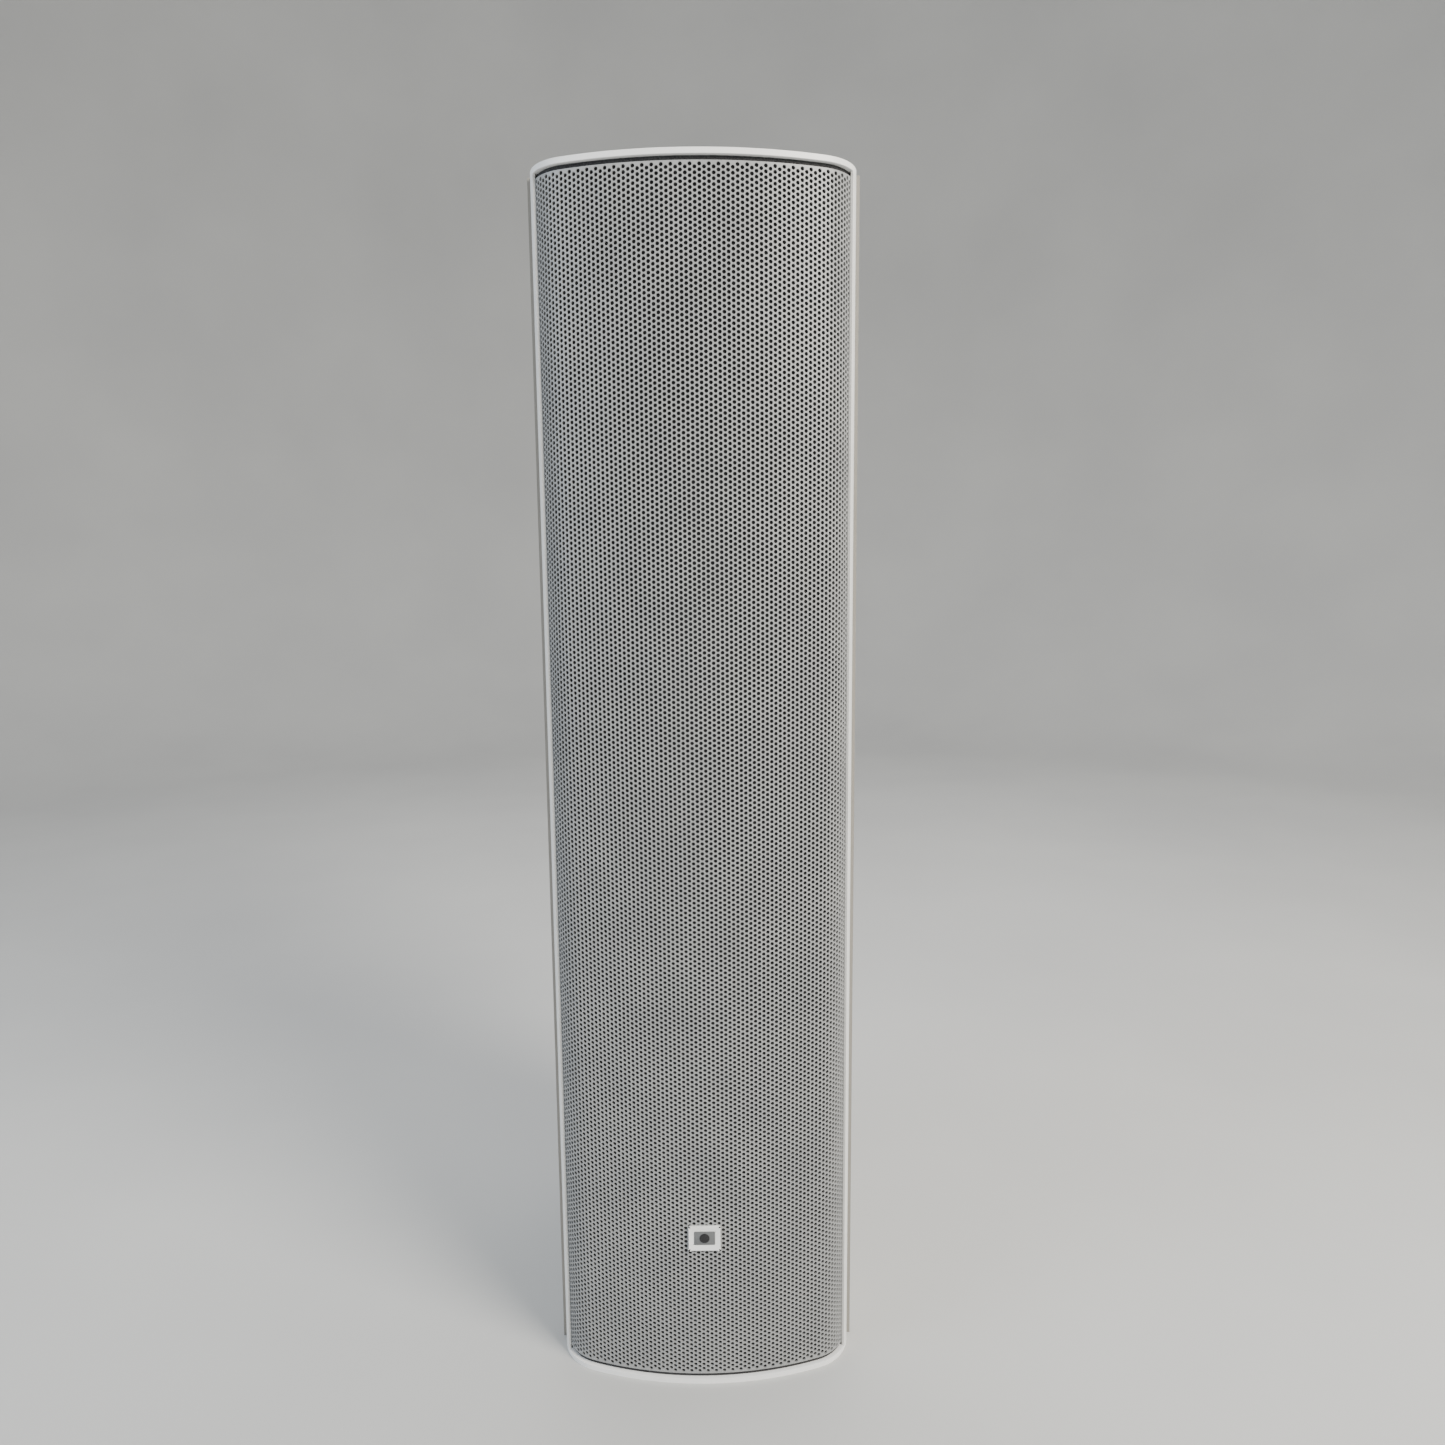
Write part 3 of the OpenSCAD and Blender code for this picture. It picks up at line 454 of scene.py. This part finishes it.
badge_grey = new_material("badge_grey", 0.35, metallic=0.3)
brushed = pattern(badge_grey, "Noise", (4 * mm, 4 * mm, 0.08 * mm), Detail=3.0)
tint(badge_grey, brushed, (0.3, (0.13, 0.135, 0.14)), (0.7, (0.19, 0.195, 0.2)))
gloss(badge_grey, brushed, 0.28, 0.5)
plate_y = badge_low.y + 0.5 * mm
bm = block(Vector((inlay_low.x, plate_y, inlay_low.z)), inlay_high)
round_edges(bm, edges_along(bm, 1), 0.7 * mm, 4)
round_edges(bm, list(front_face(bm).edges), 0.08 * mm, 2)
plate = shade_smooth(new_object(bm, "badge_inlay_plate"), 50)
place(plate, badge_grey, "badge_grey", ["badge_inlay"])

dot_black = new_material("dot_black", 0.3)
specks = pattern(dot_black, "Noise", 0.5 * mm, Detail=2.0)
tint(dot_black, specks, (0.3, (0.008, 0.008, 0.009)), (0.8, (0.02, 0.02, 0.022)))
gloss(dot_black, specks, 0.22, 0.4)
dot_centre = (inlay_low + inlay_high) / 2
bm = bmesh.new()
bmesh.ops.create_cone(bm, cap_ends=True, segments=40, radius1=2.9 * mm, radius2=2.9 * mm, depth=0.5 * mm,
                      matrix=Matrix.Translation((dot_centre.x, plate_y, dot_centre.z))
                      @ Matrix.Rotation(radians(90), 4, "X"))
round_edges(bm, [e for e in bm.edges if e.calc_face_angle(0) > radians(50)], 0.12 * mm, 3)
dot = shade_smooth(new_object(bm, "badge_dot"), 40)
place(dot, dot_black, "badge_grey", ["badge_inlay"])

# ---- input panel ----
# A black moulded tray let into the back. It holds a four-way barrier strip with plated screws
# and two small slide switches, and four dark screws fix it over its gasket.
black_moulding = new_material("black_moulding", 0.5)
spark = pattern(black_moulding, "Noise", 0.6 * mm, Detail=3.0)
tint(black_moulding, pattern(black_moulding, "Noise", 22 * mm, Detail=5.0),
     (0.35, (0.012, 0.012, 0.013)), (0.75, (0.026, 0.026, 0.028)))
relief(black_moulding, spark, 0.05 * mm)
gloss(black_moulding, spark, 0.4, 0.62)
softened("terminal_plate", 0.5 * mm, black_moulding)
softened("barrier_strip", 0.3 * mm, black_moulding, 2)


def plated(name, dark, light, roughness):
    """Bright or dark plating, drawn in fine lines by the tool that turned it."""
    metal = new_material(name, roughness, metallic=1.0)
    lines = pattern(metal, "Noise", (0.12 * mm, 2.5 * mm, 0.12 * mm), Detail=4.0)
    tint(metal, lines, (0.3, dark), (0.7, light))
    gloss(metal, lines, roughness * 0.8, roughness * 1.4)
    relief(metal, lines, 0.01 * mm)
    return metal


zinc_steel = plated("zinc_steel", (0.42, 0.42, 0.41), (0.60, 0.60, 0.58), 0.32)
black_steel = plated("black_steel", (0.03, 0.03, 0.032), (0.07, 0.07, 0.074), 0.45)
softened("terminal_screws", 0.15 * mm, zinc_steel, 2)
softened("terminal_plate_screws", 0.2 * mm, black_steel, 2)

switch_moulding = new_material("switch_moulding", 0.45)
fine = pattern(switch_moulding, "Noise", 0.8 * mm, Detail=3.0)
tint(switch_moulding, fine, (0.3, (0.52, 0.52, 0.5)), (0.7, (0.62, 0.62, 0.6)))
relief(switch_moulding, fine, 0.03 * mm)
softened("voicing_switch", 0.2 * mm, switch_moulding, 2, "voicing_slider")
softened("coverage_switch", 0.2 * mm, switch_moulding, 2, "coverage_slider")

switch_case = plated("switch_case", (0.30, 0.30, 0.31), (0.42, 0.42, 0.43), 0.4)
finish("switch_housings", switch_case)

black_rubber = new_material("black_rubber", 0.8)
bloom = pattern(black_rubber, "Noise", 6 * mm, Detail=6.0, Roughness=0.7)
tint(black_rubber, bloom, (0.3, (0.010, 0.010, 0.011)), (0.75, (0.035, 0.035, 0.036)))
relief(black_rubber, pattern(black_rubber, "Noise", 0.5 * mm, Detail=2.0), 0.05 * mm)
for gasket in ("terminal_gasket", "baffle_gasket", "woofer_gaskets"):
    finish(gasket, black_rubber)

# ---- threaded inserts ----
# Brass inserts moulded into the back and the two ends, for a bracket's M6 screws.
brass_insert = plated("brass_insert", (0.40, 0.27, 0.10), (0.62, 0.44, 0.18), 0.3)
for node in ("rear_inserts", "end_inserts"):
    softened(node, 0.25 * mm, brass_insert, 2)

# ---- screws inside ----
# Black steel screws hold the baffle, the woofers and the tweeter strip, and zinc-plated ones
# the end caps.
for node in ("baffle_screws", "woofer_screws", "strip_screws"):
    finish(node, black_steel)
finish("cap_screws", zinc_steel)

# ---- braces and wadding ----
# Three moulded braces stiffen the shell between the woofers. White polyester wadding lies
# loosely behind each of them.
brace_moulding = new_material("brace_moulding", 0.7)
flow = pattern(brace_moulding, "Noise", (30 * mm, 30 * mm, 2 * mm), Detail=5.0, Distortion=0.8)
tint(brace_moulding, flow, (0.3, (0.38, 0.32, 0.22)), (0.7, (0.50, 0.43, 0.31)))
relief(brace_moulding, pattern(brace_moulding, "Noise", 0.7 * mm, Detail=2.0), 0.04 * mm)
finish("internal_braces", brace_moulding)

wadding = new_material("wadding", 1.0)
fibres = pattern(wadding, "Noise", (9 * mm, 9 * mm, 0.7 * mm), Detail=8.0, Roughness=0.75,
                 Distortion=2.5)
tint(wadding, fibres, (0.3, (0.55, 0.57, 0.58)), (0.7, (0.82, 0.84, 0.85)))
relief(wadding, fibres, 1.2 * mm)
finish("acoustic_wadding", wadding)

# ---- woofers ----
# Four 130 mm drivers: a black pressed basket, a ferrite ring magnet between steel plates, and
# a ribbed paper cone that hangs in a rubber surround and a woven spider.
ferrite = new_material("ferrite", 0.55)
sinter = pattern(ferrite, "Noise", 1.2 * mm, Detail=6.0, Roughness=0.7)
tint(ferrite, sinter, (0.3, (0.035, 0.036, 0.04)), (0.75, (0.09, 0.092, 0.10)))
relief(ferrite, sinter, 0.06 * mm)

surround_rubber = new_material("surround_rubber", 0.6)
sheen = pattern(surround_rubber, "Noise", 3 * mm, Detail=5.0)
tint(surround_rubber, sheen, (0.3, (0.012, 0.012, 0.013)), (0.7, (0.028, 0.028, 0.03)))
gloss(surround_rubber, sheen, 0.5, 0.72)

for n in range(1, 5):
    low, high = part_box(f"woofer_cone_{n}")
    axis = ((low.x + high.x) / 2, low.y, (low.z + high.z) / 2)
    paper_cone = new_material(f"paper_cone_{n}", 0.85)
    rings = pattern(paper_cone, "Wave", 22 * mm, axis, turn=(90, 0, 0), Distortion=1.5, Detail=2.0)
    paper_cone.node_tree.nodes["Wave Texture"].wave_type = "RINGS"
    paper_cone.node_tree.nodes["Wave Texture"].rings_direction = "Z"
    pulp = pattern(paper_cone, "Noise", (0.5 * mm, 2.0 * mm, 0.5 * mm), Detail=6.0, Distortion=1.2)
    tint(paper_cone, pulp, (0.3, (0.022, 0.022, 0.024)), (0.7, (0.07, 0.07, 0.073)))
    relief(paper_cone, pulp, 0.08 * mm)
    relief(paper_cone, rings, 0.15 * mm)
    finish(f"woofer_cone_{n}", paper_cone)

    spider_cloth = new_material(f"spider_cloth_{n}", 0.9)
    weave = pattern(spider_cloth, "Checker", 0.45 * mm, axis, turn=(0, 45, 0))
    tint(spider_cloth, weave, (0.0, (0.42, 0.28, 0.12)), (1.0, (0.62, 0.44, 0.22)))
    relief(spider_cloth, weave, 0.1 * mm)
    finish(f"woofer_spider_{n}", spider_cloth)

    finish(f"woofer_basket_{n}", black_steel)
    finish(f"woofer_magnet_{n}", ferrite)
    finish(f"woofer_surround_{n}", surround_rubber)

# ---- tweeters ----
# Sixteen small silk domes in black faceplates, in one tight row on a moulded strip that
# stands on short legs in front of the woofers.
softened("tweeter_strip", 0.3 * mm, black_moulding, 2)
finish("tweeter_bodies", black_moulding)

silk_dome = new_material("silk_dome", 0.55)
threads = pattern(silk_dome, "Checker", 0.3 * mm, turn=(0, 45, 0))
soft = pattern(silk_dome, "Noise", 2 * mm, Detail=4.0)
tint(silk_dome, soft, (0.3, (0.05, 0.043, 0.035)), (0.7, (0.10, 0.088, 0.072)))
relief(silk_dome, threads, 0.03 * mm)
gloss(silk_dome, soft, 0.42, 0.7)
finish("tweeter_domes", silk_dome)

# ---- crossover ----
# A green circuit board on brass standoffs, with air-cored copper coils, blue film capacitors
# and white cement resistors.
circuit_board = new_material("circuit_board", 0.35)
tracks = pattern(circuit_board, "Voronoi", 8 * mm, turn=(0, 45, 0), output="Distance")
circuit_board.node_tree.nodes["Voronoi Texture"].distance = "MANHATTAN"
tint(circuit_board, tracks, (0.52, (0.02, 0.075, 0.035)), (0.56, (0.035, 0.12, 0.055)))
relief(circuit_board, tracks, 0.05 * mm)
finish("crossover_board", circuit_board)

copper_winding = new_material("copper_winding", 0.35, metallic=0.9)
turns = pattern(copper_winding, "Wave", 5 * mm, turn=(0, 0, 90), Distortion=0.15)
tint(copper_winding, turns, (0.1, (0.24, 0.07, 0.02)), (0.8, (0.62, 0.25, 0.10)))
relief(copper_winding, turns, 0.25 * mm)
finish("crossover_coils", copper_winding)

film_capacitor = new_material("film_capacitor", 0.3)
wrap = pattern(film_capacitor, "Noise", (14 * mm, 2 * mm, 2 * mm), Detail=4.0)
tint(film_capacitor, wrap, (0.3, (0.02, 0.06, 0.17)), (0.7, (0.04, 0.10, 0.26)))
relief(film_capacitor, wrap, 0.1 * mm)
finish("crossover_capacitors", film_capacitor)

cement_resistor = new_material("cement_resistor", 0.8)
grit = pattern(cement_resistor, "Noise", 0.7 * mm, Detail=6.0, Roughness=0.7)
tint(cement_resistor, grit, (0.3, (0.62, 0.61, 0.57)), (0.7, (0.80, 0.79, 0.75)))
relief(cement_resistor, grit, 0.1 * mm)
finish("crossover_resistors", cement_resistor)
finish("crossover_standoffs", brass_insert)

# ---- wiring ----
# Insulated leads bundled under red braid, from the input panel up to the crossover, the
# woofers and the tweeters.
wire_cover = new_material("wire_cover", 0.55)
braid = pattern(wire_cover, "Checker", 1.1 * mm, turn=(35, 35, 35))
tint(wire_cover, braid, (0.0, (0.20, 0.012, 0.01)), (1.0, (0.32, 0.03, 0.022)))
relief(wire_cover, braid, 0.15 * mm)
finish("wiring_loom", wire_cover)
